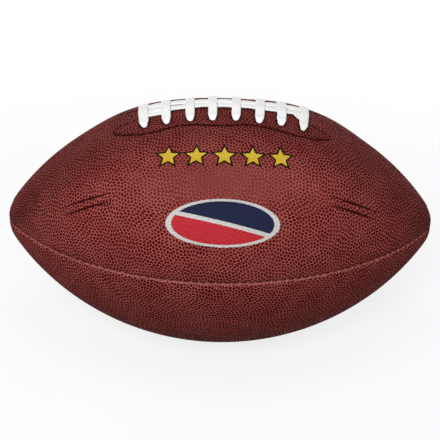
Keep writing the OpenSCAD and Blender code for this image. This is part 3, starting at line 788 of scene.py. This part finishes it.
def clothMaterial(name, warp, weft, pitch, rough):
    # pitch is the distance from thread to thread in millimetres
    made, tree = newMaterial(name)
    place = put(tree, "TexCoord").outputs["Object"]
    scale = 1 / (2 * math.pi * pitch * millimetre)
    across = put(tree, "TexWave", {"Vector": place, "Scale": scale}, bands_direction="X").outputs["Fac"]
    along = put(tree, "TexWave", {"Vector": place, "Scale": scale}, bands_direction="Z").outputs["Fac"]
    weave = put(tree, "Math", {0: across, 1: along}, operation="MULTIPLY")
    colour = put(tree, "Mix", {0: weave, 6: linear(warp), 7: linear(weft)}, data_type="RGBA")
    bump = put(tree, "Bump", {"Height": weave, "Distance": 0.1 * millimetre, "Strength": 0.7})
    shader = put(tree, "BsdfPrincipled", {"Base Color": colour, "Roughness": rough, "Normal": bump})
    put(tree, "OutputMaterial", {"Surface": shader})
    return made


def rubberMaterial(name, dark, light, grain, rough):
    # grain is the scale of its cloudy surface, per metre
    made, tree = newMaterial(name)
    place = put(tree, "TexCoord").outputs["Object"]
    cloud = put(tree, "TexNoise", {"Vector": place, "Scale": grain, "Detail": 4.0})
    colour = put(tree, "Mix", {0: cloud, 6: linear(dark), 7: linear(light)}, data_type="RGBA")
    bump = put(tree, "Bump", {"Height": cloud, "Distance": 0.08 * millimetre, "Strength": 0.5})
    shader = put(tree, "BsdfPrincipled", {"Base Color": colour, "Roughness": rough, "Normal": bump})
    put(tree, "OutputMaterial", {"Surface": shader})
    return made


# dull woven cotton glued behind the cover, dark PVC-coated canvas round the holes, a greyish soft vinyl
# strip under the lace, and a black dipped butyl bladder with its smoother moulded valve and red soft plug
looks = {
    "lining": clothMaterial("wovenCottonLining", "B8AC93", "D8CFB8", 0.6, 0.9),
    "lace_patch": clothMaterial("coatedCanvasReinforcement", "3A3836", "55524E", 0.8, 0.7),
    "lace_guard": rubberMaterial("softVinylGuard", "6E6A66", "8C8883", 900.0, 0.6),
    "bladder": rubberMaterial("dippedButylBladder", "1B1B1D", "2C2C2F", 260.0, 0.55),
    "valve_body": rubberMaterial("mouldedValveRubber", "0F0F10", "1E1E20", 700.0, 0.45),
    "valve_plug": rubberMaterial("softSiliconePlug", "8E2A22", "A93A30", 700.0, 0.5),
    "seam_thread": brownThread, "seam_thread_top": topSeamThread,
}
for name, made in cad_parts.items():
    for start, material in looks.items():
        if name.startswith(start):
            made.data.materials.clear()
            made.data.materials.append(material)
print("inner pieces finished")


def whiteRays(tree):
    # 1 for the rays that see the white surroundings, and 0 for those that carry light
    path = put(tree, "LightPath").outputs
    seen = put(tree, "Math", {0: path["Is Camera Ray"], 1: path["Is Glossy Ray"]}, operation="MAXIMUM")
    return put(tree, "Math", {0: seen, 1: path["Is Transmission Ray"]}, operation="MAXIMUM")


# a white paper sweep, in metres: plain white to the camera, with the ball's soft shadow kept near it
sweep = {"half": 6, "below": 0.02, "lit": "4A4A4A", "seen": "F8F8F8", "near": 0.16, "far": 0.55,
         "nearShare": 0.8}


def floorMaterial():
    made, tree = newMaterial("whitePaperSweep")
    seen = whiteRays(tree)
    colour = put(tree, "Mix", {0: seen, 6: linear(sweep["lit"]), 7: linear(sweep["seen"])},
                 data_type="RGBA")
    diffuse = put(tree, "BsdfDiffuse", {"Color": colour})
    glow = put(tree, "Emission", {"Color": (1, 1, 1, 1), "Strength": 1.0})
    place = put(tree, "TexCoord").outputs["Object"]
    away = put(tree, "VectorMath", {0: place}, operation="LENGTH")
    share = put(tree, "MapRange", {"Value": away, "From Min": sweep["near"], "From Max": sweep["far"],
                                   "To Min": sweep["nearShare"]}, interpolation_type="SMOOTHSTEP")
    share = put(tree, "Math", {0: share, 1: seen}, operation="MULTIPLY")
    mixed = put(tree, "MixShader", {0: share, 1: diffuse, 2: glow})
    put(tree, "OutputMaterial", {"Surface": mixed})
    return made


bm = bmesh.new()
bmesh.ops.create_grid(bm, x_segments=2, y_segments=2, size=sweep["half"])
bmesh.ops.translate(bm, verts=bm.verts, vec=(0, 0, -(bellyRadius + sweep["below"]) * millimetre))
floor = newObject("paperSweep", bm)
floor.data.materials.append(floorMaterial())

# the world looks white and gives only a little light
skyLight = 0.08
world = bpy.data.worlds.new("studio")
bpy.context.scene.world = world
world.use_nodes = True
world.node_tree.nodes.clear()
strength = put(world.node_tree, "MapRange", {"Value": whiteRays(world.node_tree), "To Min": skyLight})
sky = put(world.node_tree, "Background", {"Color": (1, 1, 1, 1), "Strength": strength})
put(world.node_tree, "OutputWorld", {"Surface": sky})

# each square lamp's place and side in metres and its power in watts; the two behind give no glints
lamps = {"key": ((-0.14, -0.76, 0.6), 0.34, 7.4), "top": ((-0.04, -0.12, 1.0), 0.5, 2.8),
         "left": ((-1.05, -0.1, 0.3), 0.5, 0.6), "right": ((1.05, -0.1, 0.3), 0.5, 0.9),
         "backLeft": ((-0.5, 1.0, 0.16), 0.5, 4.4), "backRight": ((0.5, 1.0, 0.16), 0.5, 4.4)}
for name, (spot, size, power) in lamps.items():
    lamp = bpy.data.lights.new(name, "AREA")
    lamp.size = size
    lamp.energy = power
    holder = bpy.data.objects.new(name, lamp)
    bpy.context.scene.collection.objects.link(holder)
    holder.location = spot
    holder.visible_camera = False
    holder.visible_glossy = not name.startswith("back")
    holder.rotation_euler = (-Vector(spot)).to_track_quat("-Z", "Y").to_euler()

# the camera stands where the photograph's did, in front and a little above: distances are in metres, the
# lens and the sensor in millimetres
view = {"distance": 0.676, "elevation": 28.8, "roll": 0.9, "lens": 80.2, "sensor": 36, "nearest": 0.01,
        "aim": (0.0, 0.0, -0.001)}
camera = bpy.data.objects.new("camera", bpy.data.cameras.new("camera"))
bpy.context.scene.collection.objects.link(camera)
camera.data.lens = view["lens"]
camera.data.sensor_width = view["sensor"]
camera.data.clip_start = view["nearest"]
rise = math.radians(view["elevation"])
offset = Vector((0, -math.cos(rise), math.sin(rise))) * view["distance"]
camera.location = Vector(view["aim"]) + offset
roll = Matrix.Rotation(math.radians(view["roll"]), 3, "Z")
camera.rotation_euler = ((-offset).to_track_quat("-Z", "Y").to_matrix() @ roll).to_euler()
bpy.context.scene.camera = camera
bpy.context.scene.view_settings.view_transform = "Standard"
print("stage, lamps and camera set")
